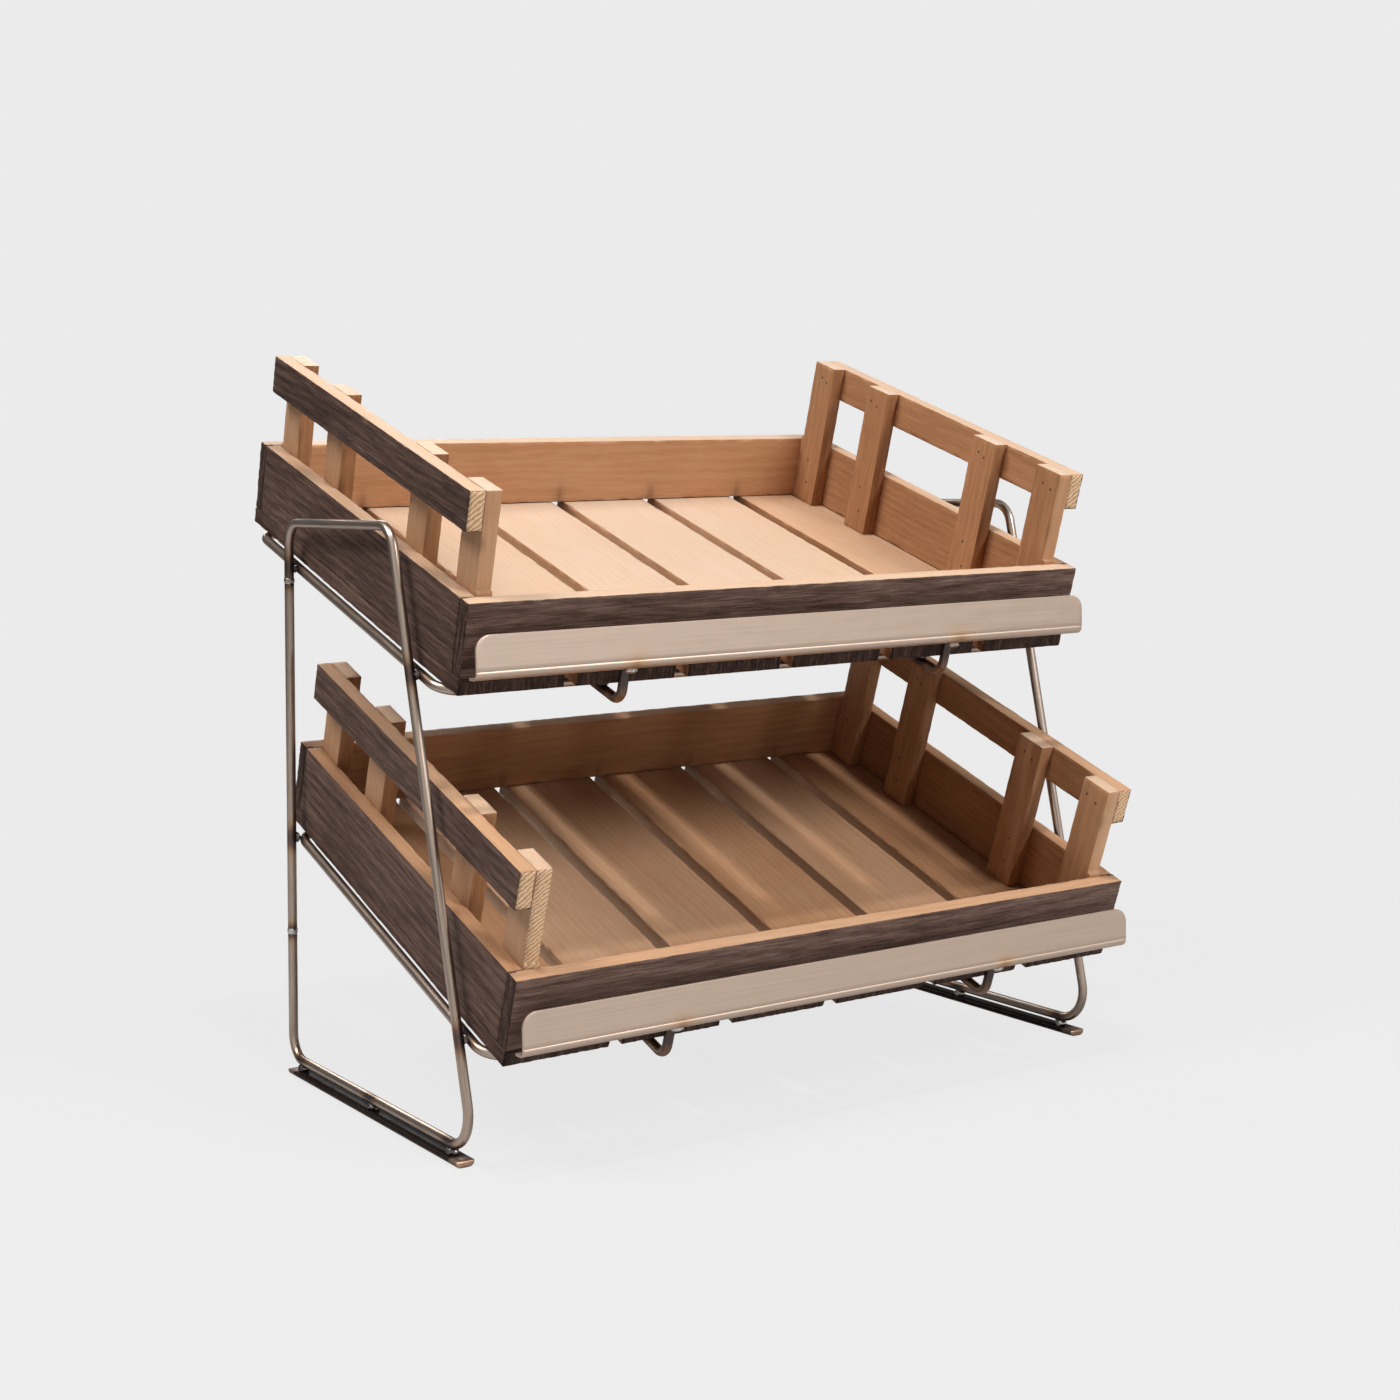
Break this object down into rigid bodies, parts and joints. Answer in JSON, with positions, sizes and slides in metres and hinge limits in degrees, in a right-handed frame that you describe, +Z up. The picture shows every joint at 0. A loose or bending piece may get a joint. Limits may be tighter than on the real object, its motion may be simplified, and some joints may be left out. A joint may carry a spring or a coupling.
{
  "type": "countertop display stand",
  "caption": "Tiered countertop display stand: tilted slatted wooden crates with raised side rails on welded steel rod end hoops, with a ticket strip in front of each crate.",
  "frame": {"origin": "on the counter, under the middle of the whole stand", "axes": "+X to the stand's right, along the crates' width; +Y to the back, towards the higher ends of the tilted crates; +Z up"},
  "size_m": [0.4786, 0.3582, 0.4683],
  "materials": {
    "raw_rod": "bare drawn rod, satin, heat tint at the welds",
    "satin_strip": "satin sheet",
    "stained_board": "rough sawn, dark stained outside, natural on the planed faces",
    "pale_wood": "natural, unvarnished"
  },
  "bodies": {
    "stand": {"left_end_hoop": "raw_rod", "left_back_upright": "raw_rod", "left_foot_runner": "raw_rod", "right_end_hoop": "raw_rod", "right_back_upright": "raw_rod", "right_foot_runner": "raw_rod", "upper_shelf_loop": "raw_rod", "upper_left_hook_rod": "raw_rod", "upper_right_hook_rod": "raw_rod", "upper_ticket_strip": "satin_strip", "lower_shelf_loop": "raw_rod", "lower_left_hook_rod": "raw_rod", "lower_right_hook_rod": "raw_rod", "lower_ticket_strip": "satin_strip"},
    "upper_crate": {"upper_crate_slat_1": "pale_wood", "upper_crate_slat_2": "pale_wood", "upper_crate_slat_3": "pale_wood", "upper_crate_slat_4": "pale_wood", "upper_crate_slat_5": "pale_wood", "upper_crate_slat_6": "pale_wood", "upper_crate_front_board": "stained_board", "upper_crate_back_board": "stained_board", "upper_crate_left_board": "stained_board", "upper_crate_left_post_1": "pale_wood", "upper_crate_left_post_2": "pale_wood", "upper_crate_left_post_3": "pale_wood", "upper_crate_left_post_4": "pale_wood", "upper_crate_left_rail": "stained_board", "upper_crate_right_board": "stained_board", "upper_crate_right_post_1": "pale_wood", "upper_crate_right_post_2": "pale_wood", "upper_crate_right_post_3": "pale_wood", "upper_crate_right_post_4": "pale_wood", "upper_crate_right_rail": "stained_board"},
    "lower_crate": {"lower_crate_slat_1": "pale_wood", "lower_crate_slat_2": "pale_wood", "lower_crate_slat_3": "pale_wood", "lower_crate_slat_4": "pale_wood", "lower_crate_slat_5": "pale_wood", "lower_crate_slat_6": "pale_wood", "lower_crate_front_board": "stained_board", "lower_crate_back_board": "stained_board", "lower_crate_left_board": "stained_board", "lower_crate_left_post_1": "pale_wood", "lower_crate_left_post_2": "pale_wood", "lower_crate_left_post_3": "pale_wood", "lower_crate_left_post_4": "pale_wood", "lower_crate_left_rail": "stained_board", "lower_crate_right_board": "stained_board", "lower_crate_right_post_1": "pale_wood", "lower_crate_right_post_2": "pale_wood", "lower_crate_right_post_3": "pale_wood", "lower_crate_right_post_4": "pale_wood", "lower_crate_right_rail": "stained_board"}
  },
  "joints": [
    {"name": "upper_crate_lift", "type": "slide", "parent": "stand", "child": "upper_crate", "axis": [0, -0.3107, 0.9505], "range_m": [0, 0.15]},
    {"name": "lower_crate_lift", "type": "slide", "parent": "stand", "child": "lower_crate", "axis": [0, -0.342, 0.9397], "range_m": [0, 0.045]}
  ]
}
